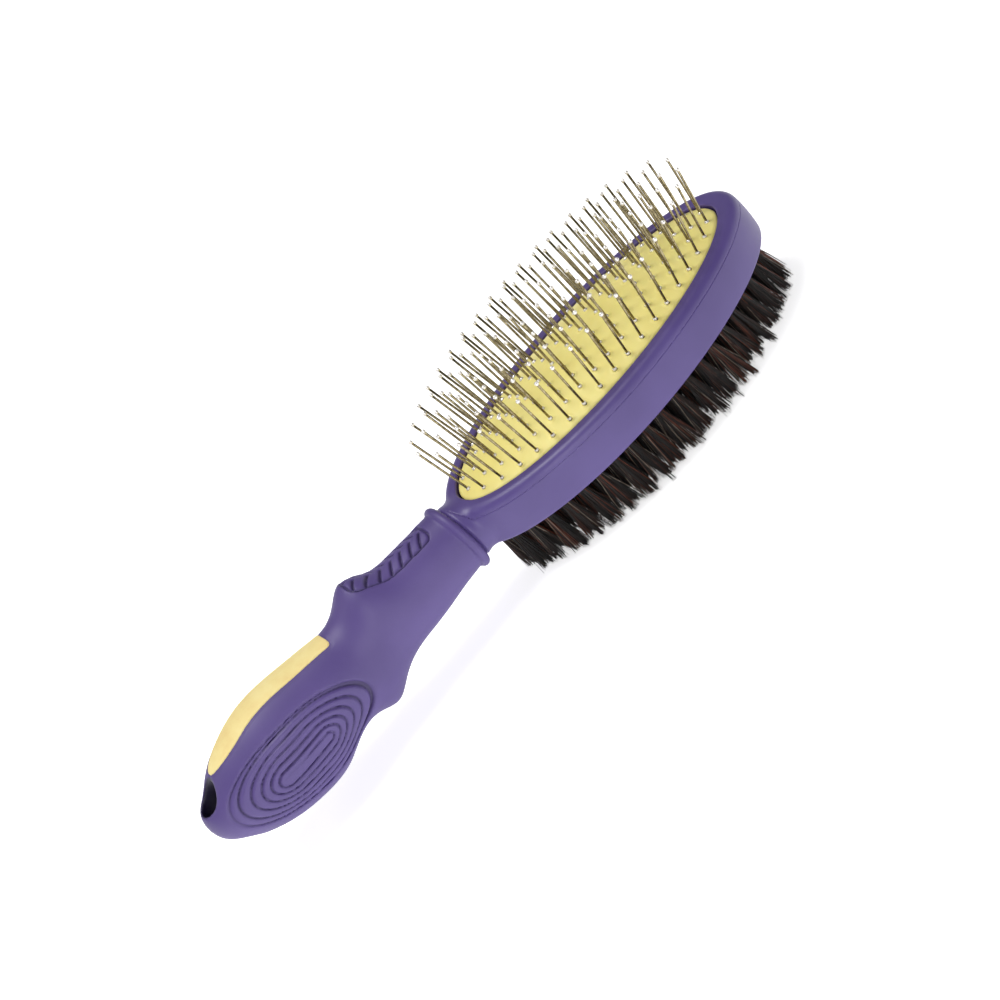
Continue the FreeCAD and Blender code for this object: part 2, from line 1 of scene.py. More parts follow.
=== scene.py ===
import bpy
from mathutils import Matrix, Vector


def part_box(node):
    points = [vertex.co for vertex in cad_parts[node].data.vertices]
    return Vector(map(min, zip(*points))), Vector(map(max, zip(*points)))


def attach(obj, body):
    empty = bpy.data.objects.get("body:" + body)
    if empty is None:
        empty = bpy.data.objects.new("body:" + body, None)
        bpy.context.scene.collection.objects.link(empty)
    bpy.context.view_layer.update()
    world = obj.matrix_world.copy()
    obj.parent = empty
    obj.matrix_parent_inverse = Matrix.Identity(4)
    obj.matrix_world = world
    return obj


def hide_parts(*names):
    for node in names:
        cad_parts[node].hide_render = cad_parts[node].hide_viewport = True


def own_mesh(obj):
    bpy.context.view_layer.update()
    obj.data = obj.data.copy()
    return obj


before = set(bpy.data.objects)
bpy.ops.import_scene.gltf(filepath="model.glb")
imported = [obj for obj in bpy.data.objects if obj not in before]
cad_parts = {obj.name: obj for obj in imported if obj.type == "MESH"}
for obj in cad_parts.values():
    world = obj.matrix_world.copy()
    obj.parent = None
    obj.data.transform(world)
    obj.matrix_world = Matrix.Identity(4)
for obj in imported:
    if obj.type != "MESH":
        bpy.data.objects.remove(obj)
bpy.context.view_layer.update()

import math
import random

import bmesh
import bpy
import numpy as np
from mathutils import Matrix, Vector

MM = 0.001
random.seed(7)


# ---------------------------------------------------------------------------------------------
# Places and sizes, in millimetres, read from the frame.
# ---------------------------------------------------------------------------------------------

def box_mm(node):
    low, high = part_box(node)
    return [value / MM for value in low], [value / MM for value in high]


BEZEL_LOW, BEZEL_HIGH = box_mm("cushion_bezel")
SKIN_LOW, SKIN_HIGH = box_mm("cushion_membrane")
PLATE_LOW, PLATE_HIGH = box_mm("bristle_plate")
SLEEVE_LOW, SLEEVE_HIGH = box_mm("grip_sleeve")
BRISTLE_TIPS_Z = box_mm("tufts_ring_1")[0][2]

HEAD_X = (BEZEL_LOW[0] + BEZEL_HIGH[0]) / 2
HEAD_HALF_LENGTH = (BEZEL_HIGH[0] - BEZEL_LOW[0]) / 2
HEAD_HALF_WIDTH = BEZEL_HIGH[1]
HEAD_TOP = BEZEL_HIGH[2]
HEAD_BOTTOM = -HEAD_TOP
PARTING_Z = BEZEL_LOW[2]
RIM_AT_ENDS = 5.4
RIM_AT_SIDES = 5.5
WALL = 3.0
PAD_HALF_LENGTH = HEAD_HALF_LENGTH - RIM_AT_ENDS
PAD_HALF_WIDTH = HEAD_HALF_WIDTH - RIM_AT_SIDES
SEAT_HALF_LENGTH = HEAD_HALF_LENGTH - WALL
SEAT_HALF_WIDTH = HEAD_HALF_WIDTH - WALL
DOME_GAP = 0.3
DOME_HALF_LENGTH = PAD_HALF_LENGTH - DOME_GAP
DOME_HALF_WIDTH = PAD_HALF_WIDTH - DOME_GAP
DOME_RISE = 6.5
DOME_Z = SKIN_HIGH[2] - DOME_RISE
FLANGE_Z = SKIN_LOW[2]
FLANGE_THICKNESS = 1.45
SKIN_THICKNESS = 1.2
BUTT_X = SLEEVE_LOW[0]
COLLAR_END = SLEEVE_HIGH[0]
COLLAR_WIDTH = 3.0
GRIP_LENGTH = COLLAR_END - BUTT_X - COLLAR_WIDTH
WIRE_RADIUS = 0.38
BALL_RADIUS = 0.66
BEAD_RADIUS = 0.72
FLOOR_REACH = 3000.0


# ---------------------------------------------------------------------------------------------
# Small tools: curves, meshes and distance fields.
# ---------------------------------------------------------------------------------------------

def spline(xs, ys):
    """A natural cubic spline through the points, as a function of arrays."""
    xs = np.array(xs, float)
    ys = np.array(ys, float)
    gaps = np.diff(xs)
    slopes = np.diff(ys) / gaps
    count = len(xs)
    system = np.eye(count)
    right = np.zeros(count)
    for i in range(1, count - 1):
        system[i, i - 1] = gaps[i - 1]
        system[i, i] = 2 * (gaps[i - 1] + gaps[i])
        system[i, i + 1] = gaps[i]
        right[i] = 6 * (slopes[i] - slopes[i - 1])
    bend = np.linalg.solve(system, right)

    def value(x):
        x = np.clip(x, xs[0], xs[-1])
        i = np.clip(np.searchsorted(xs, x) - 1, 0, count - 2)
        a = (xs[i + 1] - x) / gaps[i]
        b = (x - xs[i]) / gaps[i]
        curve = ((a ** 3 - a) * bend[i] + (b ** 3 - b) * bend[i + 1]) * gaps[i] ** 2 / 6
        return a * ys[i] + b * ys[i + 1] + curve
    return value


def smooth_step(low, high, value):
    share = np.clip((value - low) / (high - low), 0, 1)
    return share * share * (3 - 2 * share)


def smooth_min(a, b, reach):
    """The union of two distance fields with a fillet of about the reach."""
    share = np.clip(0.5 + 0.5 * (b - a) / reach, 0, 1)
    return b + (a - b) * share - reach * share * (1 - share)


def smooth_max(a, b, reach):
    """What two distance fields share, with the edge rounded over about the reach."""
    return -smooth_min(-a, -b, reach)


def ellipse_distance(u, v, half_u, half_v):
    """About how far a point is outside an ellipse."""
    first = np.hypot(u / half_u, v / half_v)
    second = np.hypot(u / half_u ** 2, v / half_v ** 2)
    return first * (first - 1) / np.maximum(second, 1e-9)


def rounded_box_distance(u, v, half_u, half_v, corner):
    """How far a point is outside a rectangle with rounded corners."""
    across = np.abs(u) - half_u + corner
    along = np.abs(v) - half_v + corner
    outside = np.hypot(np.maximum(across, 0), np.maximum(along, 0))
    return outside + np.minimum(np.maximum(across, along), 0) - corner


def field_surface(distance, low, high, step):
    """Vertices and faces of the surface where a distance field is zero, in millimetres."""
    axes = [np.arange(start - 2 * step, end + 3 * step, step) for start, end in zip(low, high)]
    x, y, z = np.meshgrid(*axes, indexing="ij", sparse=True)
    field = np.broadcast_to(distance(x, y, z), [len(axis) for axis in axes])
    inside = field < 0
    corners = [(i, j, k) for i in (0, 1) for j in (0, 1) for k in (0, 1)]
    size = [len(axis) - 1 for axis in axes]
    count = np.zeros(size, np.int8)
    for i, j, k in corners:
        count += inside[i:size[0] + i, j:size[1] + j, k:size[2] + k]
    cells = np.argwhere((count > 0) & (count < 8))
    values = np.stack([field[tuple((cells + corner).T)] for corner in corners], 1)
    total = np.zeros((len(cells), 3))
    crossings = np.zeros(len(cells))
    for first in range(8):
        for second in range(first + 1, 8):
            offset = np.array(corners[second]) - np.array(corners[first])
            if np.abs(offset).sum() != 1 or offset.min() < 0:
                continue
            a = values[:, first]
            b = values[:, second]
            crossed = (a < 0) != (b < 0)
            share = np.where(crossed, a / np.where(crossed, a - b, 1), 0)
            point = np.array(corners[first]) + share[:, None] * offset
            total += point * crossed[:, None]
            crossings += crossed
    origin = np.array([axis[0] for axis in axes])
    points = origin + (cells + total / crossings[:, None]) * step
    index = np.full(size, -1, np.int64)
    index[tuple(cells.T)] = np.arange(len(cells))
    faces = []
    for axis in range(3):
        u = (axis + 1) % 3
        v = (axis + 2) % 3
        here = [slice(0, n) for n in size]
        here[u] = slice(1, size[u])
        here[v] = slice(1, size[v])
        after = list(here)
        after[axis] = slice(1, size[axis] + 1)
        before_inside = inside[tuple(here)]
        after_inside = inside[tuple(after)]
        changed = np.argwhere(before_inside != after_inside)
        edge = changed.copy()
        edge[:, u] += 1
        edge[:, v] += 1
        quad = []
        for du, dv in ((1, 1), (0, 1), (0, 0), (1, 0)):
            cell = edge.copy()
            cell[:, u] -= du
            cell[:, v] -= dv
            quad.append(index[tuple(cell.T)])
        quad = np.stack(quad, 1)
        outward = before_inside[tuple(changed.T)]
        quad[~outward] = quad[~outward][:, ::-1]
        faces.append(quad)
    faces = np.concatenate(faces)
    faces = faces[(faces >= 0).all(1)]
    return settle(distance, points, step), faces


def field_gradient(distance, points):
    """The way in which the field grows fastest, and how fast, at each point."""
    nudge = 0.02
    columns = []
    for axis in range(3):
        shift = np.zeros(3)
        shift[axis] = nudge
        ahead = distance(*(points + shift).T)
        behind = distance(*(points - shift).T)
        columns.append((ahead - behind) / (2 * nudge))
    return np.stack(columns, 1)


def settle(distance, points, step):
    """Moves surface points on to the field's exact zero."""
    for _ in range(3):
        value = distance(*points.T)
        slope = field_gradient(distance, points)
        steep = np.maximum((slope ** 2).sum(1), 0.05)
        move = -(value / steep)[:, None] * slope
        length = np.linalg.norm(move, axis=1)
        limit = np.minimum(1, 0.5 * step / np.maximum(length, 1e-9))
        points = points + move * limit[:, None]
    return points


def new_piece(name, points, faces, materials, smooth=True):
    """A mesh object from points in millimetres; a repeated last corner means a triangle."""
    rows = [row[:3] if row[-2] == row[-1] else row for row in np.asarray(faces).tolist()]
    mesh = bpy.data.meshes.new(name)
    mesh.from_pydata((np.asarray(points) * MM).tolist(), [], rows)
    mesh.polygons.foreach_set("use_smooth", [smooth] * len(mesh.polygons))
    mesh.validate()
    mesh.update()
    for material in materials:
        mesh.materials.append(material)
    piece = bpy.data.objects.new(name, mesh)
    bpy.context.scene.collection.objects.link(piece)
    return piece


def settle_piece(piece, body, slot, *nodes):
    """Says what a piece moves with and which CAD nodes it stands for; slot, the finish it would
    take, is not used.
    """
    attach(piece, body)
    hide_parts(*nodes)


# ---------------------------------------------------------------------------------------------
# Materials.
# ---------------------------------------------------------------------------------------------

def colour(red, green, blue):
    """An sRGB colour, 0 to 255, as linear values."""
    values = []
    for channel in (red, green, blue):
        share = channel / 255
        values.append(share / 12.92 if share <= 0.04045 else ((share + 0.055) / 1.055) ** 2.4)
    return (*values, 1.0)


class Surface:
    """A Principled material with a few helpers for its nodes."""

    def __init__(self, name, roughness=0.5, metallic=0.0, specular=0.5):
        self.material = bpy.data.materials.new(name)
        self.material.use_nodes = True
        self.nodes = self.material.node_tree.nodes
        self.links = self.material.node_tree.links
        self.shader = self.nodes["Principled BSDF"]
        self.shader.inputs["Roughness"].default_value = roughness
        self.shader.inputs["Metallic"].default_value = metallic
        self.shader.inputs["Specular IOR Level"].default_value = specular
        self.place = self.nodes.new("ShaderNodeTexCoord").outputs["Object"]

    def noise(self, scale, detail=3.0, rough=0.5, stretch=None):
        texture = self.nodes.new("ShaderNodeTexNoise")
        texture.inputs["Scale"].default_value = scale
        texture.inputs["Detail"].default_value = detail
        texture.inputs["Roughness"].default_value = rough
        place = self.place
        if stretch:
            mapping = self.nodes.new("ShaderNodeMapping")
            mapping.inputs["Scale"].default_value = stretch
            self.links.new(place, mapping.inputs["Vector"])
            place = mapping.outputs["Vector"]
        self.links.new(place, texture.inputs["Vector"])
        return texture.outputs["Fac"]

    def ramp(self, source, stops):
        ramp = self.nodes.new("ShaderNodeValToRGB")
        elements = ramp.color_ramp.elements
        while len(elements) < len(stops):
            elements.new(0.5)
        for element, (place, value) in zip(elements, stops):
            element.position = place
            element.color = value
        self.links.new(source, ramp.inputs["Fac"])
        return ramp.outputs["Color"]

    def spread(self, source, low, high, socket):
        """Feeds a shader socket with the source mapped from 0-1 to low-high."""
        spread = self.nodes.new("ShaderNodeMapRange")
        spread.inputs["To Min"].default_value = low
        spread.inputs["To Max"].default_value = high
        self.links.new(source, spread.inputs["Value"])
        self.links.new(spread.outputs["Result"], self.shader.inputs[socket])

    def tint(self, source, stops):
        self.links.new(self.ramp(source, stops), self.shader.inputs["Base Color"])

    def darken(self, share, source, deep):
        """Feeds the base colour with the source, turned to the deep colour by the share."""
        mixer = self.nodes.new("ShaderNodeMix")
        mixer.data_type = "RGBA"
        first, second = [socket for socket in mixer.inputs if socket.type == "RGBA"]
        second.default_value = deep
        self.links.new(share, mixer.inputs["Factor"])
        self.links.new(source, first)
        result = [socket for socket in mixer.outputs if socket.type == "RGBA"][0]
        self.links.new(result, self.shader.inputs["Base Color"])

    def bumps(self, *layers):
        """Bump from several sources, each with its strength and height in millimetres."""
        normal = None
        for source, strength, height in layers:
            bump = self.nodes.new("ShaderNodeBump")
            bump.inputs["Strength"].default_value = strength
            bump.inputs["Distance"].default_value = height * MM
            self.links.new(source, bump.inputs["Height"])
            if normal:
                self.links.new(normal, bump.inputs["Normal"])
            normal = bump.outputs["Normal"]
        self.links.new(normal, self.shader.inputs["Normal"])


def moulded_purple(name, deep, light, roughness, grain, cut=None):
    """Satin plastic or soft rubber with a mould grain; cut is the colour of the painted shade deep
    in its grooves and its hole.
    """
    surface = Surface(name, roughness, specular=0.45)
    cloud = surface.noise(38, 3.0)
    stops = [(0.3, deep), (0.72, light)]
    if cut:
        # Painted shade: the mesh's groove attribute turns the colour towards cut in the grooves and
        # the hang hole.
        depth = surface.nodes.new("ShaderNodeAttribute")
        depth.attribute_name = "groove"
        surface.darken(depth.outputs["Fac"], surface.ramp(cloud, stops), cut)
    else:
        surface.tint(cloud, stops)
    marks = surface.noise(210, 4.0, 0.6, (0.35, 1.0, 1.0))
    surface.spread(marks, roughness - 0.06, roughness + 0.1, "Roughness")
    fine = surface.noise(grain, 2.0, 0.5)
    surface.bumps((cloud, 0.08, 0.6), (fine, 0.12, 0.03))
    return surface.material


def pad_rubber():
    """Soft yellow rubber: slightly mottled, with a little light under its skin."""
    surface = Surface("cushion_yellow", 0.5, specular=0.4)
    cloud = surface.noise(60, 4.0, 0.6)
    surface.tint(cloud, [(0.25, colour(236, 221, 128)), (0.75, colour(244, 231, 146))])
    surface.spread(surface.noise(300, 3.0), 0.42, 0.6, "Roughness")
    fine = surface.noise(2200, 2.0)
    surface.bumps((cloud, 0.1, 0.4), (fine, 0.2, 0.03))
    surface.shader.inputs["Subsurface Weight"].default_value = 0.12
    surface.shader.inputs["Subsurface Radius"].default_value = (0.004, 0.003, 0.001)
    return surface.material


def inlay_rubber():
    """Pale yellow strip with a matte, finely pebbled face and warmer tones in its mottling."""
    surface = Surface("inlay_yellow", 0.75, specular=0.3)
    cloud = surface.noise(95, 5.0, 0.65)
    surface.tint(cloud, [
        (0.22, colour(228, 200, 134)), (0.5, colour(237, 217, 150)), (0.8, colour(243, 228, 166))])
    fine = surface.noise(1500, 3.0, 0.7)
    surface.spread(fine, 0.68, 0.85, "Roughness")
    surface.bumps((cloud, 0.2, 0.3), (fine, 0.45, 0.08))
    return surface.material


def bright_wire():
    """Polished steel wire, drawn lengthways, with faint scratches; its olive-brown tint is a
    painted reflection of the yellow cushion and the dim room.
    """
    surface = Surface("pin_wire", 0.22, 1.0)
    cloud = surface.noise(900, 3.0)
    # Painted reflection: the olive-brown colour stands in for the cushion and the dim room mirrored
    # in the steel.
    surface.tint(cloud, [(0.3, colour(112, 99, 66)), (0.75, colour(176, 165, 132))])
    surface.spread(surface.noise(1800, 2.0, 0.5, (1.0, 1.0, 0.12)), 0.14, 0.3, "Roughness")
    surface.bumps((surface.noise(2600, 2.0, 0.5, (1.0, 1.0, 0.1)), 0.15, 0.02))
    return surface.material


def bright_ball():
    """The pins' polished ball ends, pale and nearly white."""
    surface = Surface("pin_ball", 0.25, 0.55)
    cloud = surface.noise(700, 2.0)
    surface.tint(cloud, [(0.3, colour(236, 230, 222)), (0.75, colour(252, 250, 247))])
    surface.spread(cloud, 0.18, 0.34, "Roughness")
    surface.bumps((surface.noise(2400, 2.0), 0.1, 0.02))
    return surface.material


def hair(name, dark, light):
    """Bristle: fine flecks drawn out along its length, and a slight gloss."""
    surface = Surface(name, 0.5, specular=0.35)
    fleck = surface.noise(1400, 3.0, 0.6, (1.0, 1.0, 0.15))
    surface.tint(fleck, [(0.3, dark), (0.75, light)])
    surface.spread(surface.noise(700, 2.0), 0.4, 0.62, "Roughness")
    surface.bumps((fleck, 0.2, 0.03))
    return surface.material


def plate_plastic():
    """Dark purple plastic of the plate that holds the bristles."""
    surface = Surface("plate_dark", 0.55, specular=0.4)
    cloud = surface.noise(90, 3.0)
    surface.tint(cloud, [(0.3, colour(56, 46, 84)), (0.75, colour(74, 62, 108))])
    surface.spread(surface.noise(260, 3.0), 0.45, 0.65, "Roughness")
    surface.bumps((surface.noise(1800, 2.0), 0.15, 0.03))
    return surface.material


def staple_wire():
    """Plain steel of the staples inside the plate."""
    surface = Surface("staple_steel", 0.35, 1.0)
    cloud = surface.noise(800, 2.0)
    surface.tint(cloud, [(0.3, colour(150, 150, 150)), (0.7, colour(190, 190, 188))])
    surface.spread(cloud, 0.3, 0.5, "Roughness")
    surface.bumps((cloud, 0.1, 0.02))
    return surface.material


PURPLE_HARD = moulded_purple(
    "frame_purple", colour(79, 65, 122), colour(89, 75, 134), 0.4, 2400)
# The grip's last colour is the painted shade in its grooves and inside its hang hole.
PURPLE_SOFT = moulded_purple(
    "grip_purple", colour(78, 64, 120), colour(89, 74, 132), 0.5, 3000, colour(22, 13, 46))
PAD_YELLOW = pad_rubber()
INLAY_YELLOW = inlay_rubber()
WIRE = bright_wire()
BALL = bright_ball()
HAIRS = [
    hair("bristle_black", colour(14, 11, 11), colour(30, 26, 25)),
    hair("bristle_brown", colour(34, 18, 13), colour(58, 34, 25)),
    hair("bristle_auburn", colour(84, 36, 20), colour(120, 60, 36)),
    hair("bristle_pale", colour(126, 108, 92), colour(190, 176, 160)),
]
HAIR_SHARES = (0.66, 0.2, 0.1, 0.04)
# How far each kind of hair strays from its clump; a hair that strays more is finer.
HAIR_STRAYS = (1.0, 1.0, 1.1, 1.8)


# ---------------------------------------------------------------------------------------------
# Grip: its sections run from the butt, and its details are cut into the same field.
# ---------------------------------------------------------------------------------------------

# Share of the grip's length from the butt, half width, top and bottom.
GRIP_SECTIONS = [
    (0.031, 6.5, 7.2, 8.2),
    (0.074, 9.0, 9.9, 11.8),
    (0.125, 11.5, 13.2, 14.9),
    (0.194, 13.6, 16.0, 17.7),
    (0.287, 15.0, 17.8, 19.4),
    (0.380, 14.8, 17.1, 18.7),
    (0.472, 13.3, 15.2, 15.3),
    (0.532, 12.3, 14.0, 16.1),
    (0.588, 11.7, 13.2, 18.5),
    (0.648, 11.3, 15.4, 15.5),
    (0.704, 11.0, 19.0, 13.1),
    (0.740, 10.8, 18.0, 12.4),
    (0.785, 10.7, 14.6, 12.0),
    (0.852, 10.5, 12.8, 11.6),
    (0.935, 10.3, 11.9, 10.7),
    (1.000, 10.2, 11.2, 10.4),
]
# The butt is round: over the first stretch the sizes grow with the square root of the length.
ROOTS = [0.0] + [math.sqrt(section[0] * GRIP_LENGTH) for section in GRIP_SECTIONS]
grip_width = spline(ROOTS, [0.0] + [section[1] for section in GRIP_SECTIONS])
grip_top = spline(ROOTS, [0.0] + [section[2] for section in GRIP_SECTIONS])
grip_bottom = spline(ROOTS, [0.0] + [section[3] for section in GRIP_SECTIONS])

INLAY_START = 11.5
INLAY_POINT = 26.0
INLAY_END = 62.0
INLAY_HALF_WIDTH = 5.6
INLAY_TAPER_START = 45
INLAY_TAPER = 0.05
INLAY_CORNER = 1.6
PRINT_CENTRE = (33.0, -1.0)
PRINT_HALF = (27.0, 12.3)
PRINT_TILT = 0.05
PRINT_TURNS = 6
PRINT_TURN_START = 0.35
PRINT_LINE = 0.15
PRINT_END = 61.0
PRINT_SLOT = 12.0
PRINT_GROOVE = 0.62
PRINT_TERRACE = 0.3
PRINT_RIM = 0.6
PANEL_CENTRE = 90.0
PANEL_HALF = (14.2, 5.9)
PANEL_CORNER = 3.2
PANEL_DEPTH = 0.35
PANEL_BORDER = 0.6
TREAD_PITCH = 3.8
TREAD_SWEEP = 0.7
TREAD_DEPTH = 0.95
INLAY_LINE_WIDTH = 0.35
INLAY_LINE_DEPTH = 0.35
HOLE_RADIUS = 3.5
HOLE_STRETCH = (1.25, 1.2)
HOLE_LIP = 1.6
COLLAR_HALF_WIDTH = 10.15
COLLAR_HALF_HEIGHT = 10.5
COLLAR_MIDDLE_Z = 0.25
COLLAR_FILLET = 0.35
GRIP_LOW = [BUTT_X, -15.3, -19.5]
GRIP_HIGH = [COLLAR_END, 15.3, 20.0]


def grip_shape(along, y, z):
    """The grip without its details: along is measured from the butt."""
    root = np.sqrt(np.clip(along, 0.02, GRIP_LENGTH))
    width = np.maximum(grip_width(root), 0.3)
    top = np.maximum(grip_top(root), 0.3)
    bottom = np.maximum(grip_bottom(root), 0.3)
    middle = (top - bottom) / 2
    sides = ellipse_distance(y, z - middle, width, (top + bottom) / 2)
    return smooth_max(sides, -along, 0.2)


def inlay_outline(along, y):
    """How far a point is outside the inlay's outline: pointed to the butt, blunt in front."""
    share = np.clip((along - INLAY_START) / (INLAY_POINT - INLAY_START), 0, 1)
    half = INLAY_HALF_WIDTH * np.sqrt(np.maximum(share * (2 - share), 0))
    taper = INLAY_HALF_WIDTH - INLAY_TAPER * np.maximum(along - INLAY_TAPER_START, 0)
    side = np.abs(y) - np.minimum(half, taper)
    front = along - INLAY_END
    return smooth_max(smooth_max(side, front, INLAY_CORNER), INLAY_START - along, 0.2)


def print_place(along, z):
    """A place in the thumb print: how far along and across from its middle, in half sizes."""
    u = along - PRINT_CENTRE[0]
    v = z - PRINT_CENTRE[1] + PRINT_TILT * u
    return u / PRINT_HALF[0], v / PRINT_HALF[1]


def thumb_print(along, z):
    """Depth of the spiral thumb print in the grip's sides: long narrow loops inside an oval."""
    u, v = print_place(along, z)
    slot = PRINT_SLOT / PRINT_HALF[0] * (1 - np.minimum(np.hypot(u, v), 1))
    reach = np.maximum(np.abs(u) - slot, 0) / (1 - slot)
    radius = np.hypot(reach, v)
    turn = np.arctan2(v, u) / (2 * np.pi)
    coil = radius * PRINT_TURNS + turn + PRINT_TURN_START
    share = coil - np.floor(coil)
    groove = np.exp(-(np.minimum(share, 1 - share) / PRINT_LINE) ** 2)
    slope = np.clip(1 - share / 0.75, 0, 1)
    inside = 1 - smooth_step(0.97, 1.0, radius)
    core = smooth_step(0.05, 0.12, radius)
    rim = np.exp(-((radius - 0.985) / 0.024) ** 2)
    lines = PRINT_GROOVE * groove + PRINT_TERRACE * slope
    return inside * (core * lines + 0.15) + PRINT_RIM * rim


def panel_edge(along, y):
    """How far a point is outside the tread panel."""
    return rounded_box_distance(along - PANEL_CENTRE, y, *PANEL_HALF, PANEL_CORNER)


def tread(along, y):
    """Depth of the thumb panel: a shallow recess with grooves that sweep back on each side."""
    edge = panel_edge(along, y)
    inside = 1 - smooth_step(-0.35, 0.15, edge)
    border = np.exp(-((edge + 0.45) / 0.4) ** 2)
    lean = along + TREAD_SWEEP * np.abs(y) + np.where(y > 0, TREAD_PITCH / 2, 0)
    share = lean / TREAD_PITCH
    gap = np.abs(share - np.round(share)) * TREAD_PITCH
    legs = np.exp(-(gap / 0.5) ** 2)
    reach = smooth_step(0.15, 0.6, np.abs(y)) * (1 - smooth_step(-1.2, -0.8, edge))
    return inside * (PANEL_DEPTH + PANEL_BORDER * border) + TREAD_DEPTH * legs * reach


def grip_details(along, y, z):
    """How deep the grip's surface is cut, by its print, its panel and the line round its inlay."""
    on_top = smooth_step(2, 4, z)
    on_side = smooth_step(2.5, 4.5, np.abs(y))
    line = np.exp(-(inlay_outline(along, y) / INLAY_LINE_WIDTH) ** 2)
    before_end = 1 - smooth_step(PRINT_END - 1, PRINT_END + 1, along)
    depth = thumb_print(along, z) * on_side * before_end
    depth = depth + tread(along, y) * on_top
    return depth + INLAY_LINE_DEPTH * line * on_top


def hang_hole(x, y):
    """How far a point is outside the hole through the butt, which is longer than it is wide."""
    return np.hypot(x / HOLE_STRETCH[0], y / HOLE_STRETCH[1]) - HOLE_RADIUS


def grip_field(x, y, z):
    """The whole grip sleeve, with its collar bead and its hang hole."""
    along = x - BUTT_X
    shape = grip_shape(along, y, z) + grip_details(along, y, z)
    shape = smooth_max(shape, along - GRIP_LENGTH - 0.5, 0.3)
    bead_middle = GRIP_LENGTH + COLLAR_WIDTH / 2
    ring = ellipse_distance(y, z - COLLAR_MIDDLE_Z, COLLAR_HALF_WIDTH, COLLAR_HALF_HEIGHT)
    bead = np.hypot(np.maximum(ring, 0), along - bead_middle) - COLLAR_WIDTH / 2
    disc = np.maximum(ring, np.abs(along - bead_middle) - COLLAR_WIDTH / 2)
    shape = smooth_min(shape, np.minimum(bead, disc), COLLAR_FILLET)
    return smooth_max(shape, -hang_hole(x, y), HOLE_LIP)


def refine(piece, distance, chosen, step):
    """Halves the faces of a piece where its points are chosen, and settles the new points."""
    mesh = bmesh.new()
    mesh.from_mesh(piece.data)
    near = chosen(np.array([vertex.co / MM for vertex in mesh.verts]))
    edges = [edge for edge in mesh.edges if near[edge.verts[0].index] and near[edge.verts[1].index]]
    bmesh.ops.subdivide_edges(mesh, edges=edges, cuts=1, use_grid_fill=True)
    mesh.to_mesh(piece.data)
    mesh.free()
    points = np.array([vertex.co / MM for vertex in piece.data.vertices])
    points = settle(distance, points, step)
    piece.data.vertices.foreach_set("co", (points * MM).ravel())
    piece.data.update()
    return points


def has_grooves(points):
    """Which points are in the thumb prints or the tread panel."""
    x, y, z = points.T
    in_print = (np.hypot(*print_place(x - BUTT_X, z)) < 1.04) & (np.abs(y) > 2)
    in_panel = (panel_edge(x - BUTT_X, y) < 0.6) & (z > 0)
    return in_print | in_panel


def painted_shade_in_grooves_and_hole(points):
    """How much painted shade darkens the grip at each point, in its grooves and inside its hole."""
    x, y, z = points.T
    # Painted shade: deeper in deeper grooves, and full inside the hang hole.
    grooves = 0.6 * smooth_step(0.42, 1.0, grip_details(x - BUTT_X, y, z))
    hole = 1 - smooth_step(0.1, 0.6, hang_hole(x, y))
    return np.maximum(grooves, hole)


def grip_sleeve():
    """The soft grip, with a finer mesh where it has grooves."""
    step = 0.55
    points, faces = field_surface(grip_field, GRIP_LOW, GRIP_HIGH, step)
    piece = new_piece("grip_skin", points, faces, [PURPLE_SOFT])
    points = refine(piece, grip_field, has_grooves, step / 2)
    # The groove attribute carries the painted shade of the grooves and the hang hole.
    groove = piece.data.attributes.new("groove", "FLOAT", "POINT")
    groove.data.foreach_set("value", painted_shade_in_grooves_and_hole(points))
    settle_piece(piece, "frame", "grip_rubber", "grip_sleeve")


def grip_inlay():
    """The yellow strip, a thin shell just proud of the grip, inside its outline's groove."""
    def inlay_field(x, y, z):
        along = x - BUTT_X
        shape = grip_shape(along, y, z)
        shell = np.maximum(shape - 0.12, -1.5 - shape)
        outline = inlay_outline(along, y) + 0.25
        return smooth_max(np.maximum(shell, 4 - z), outline, 0.35)
    step = 0.3
    low = [BUTT_X + INLAY_START, -INLAY_HALF_WIDTH - 0.5, 8]
    high = [BUTT_X + INLAY_END, INLAY_HALF_WIDTH + 0.5, 19.6]
    points, faces = field_surface(inlay_field, low, high, step)
    piece = new_piece("inlay_strip", points, faces, [INLAY_YELLOW])
    settle_piece(piece, "frame", "inlay_rubber", "grip_inlay")


# ---------------------------------------------------------------------------------------------
# Head: the frame with its neck, and the bezel, are two parts of one smooth outside.
# ---------------------------------------------------------------------------------------------

# The neck's half sizes, by the distance from the collar. It ends inside the head.
NECK_STOPS = [0, 2, 5, 9, 16]
NECK_WIDTH = spline(NECK_STOPS, [10.2, 10.1, 10.4, 11.8, 13.5])
NECK_HEIGHT = spline(NECK_STOPS, [9.7, 9.3, 8.1, 6.9, 6.0])
NECK_END = 14
# The two parts meet closely: each goes this far past the parting line.
PARTING_LAP = 0.12
# The head's far end is a little fuller than a plain ellipse.
END_FULLNESS = 1.8
# How much the head's wall bulges between its edges, and how its edges are rounded.
WALL_BULGE = 0.55
TOP_ROUND = 3.0
BOTTOM_ROUND = 1.3
NECK_FILLET = 1.8


def oval(x, y, grown):
    """How far a point is outside the head's oval, grown by a little."""
    from_middle = x - HEAD_X
    half_length = HEAD_HALF_LENGTH + grown
    half_length = half_length + END_FULLNESS * smooth_step(0, HEAD_HALF_LENGTH, from_middle)
    return ellipse_distance(from_middle, y, half_length, HEAD_HALF_WIDTH + grown)


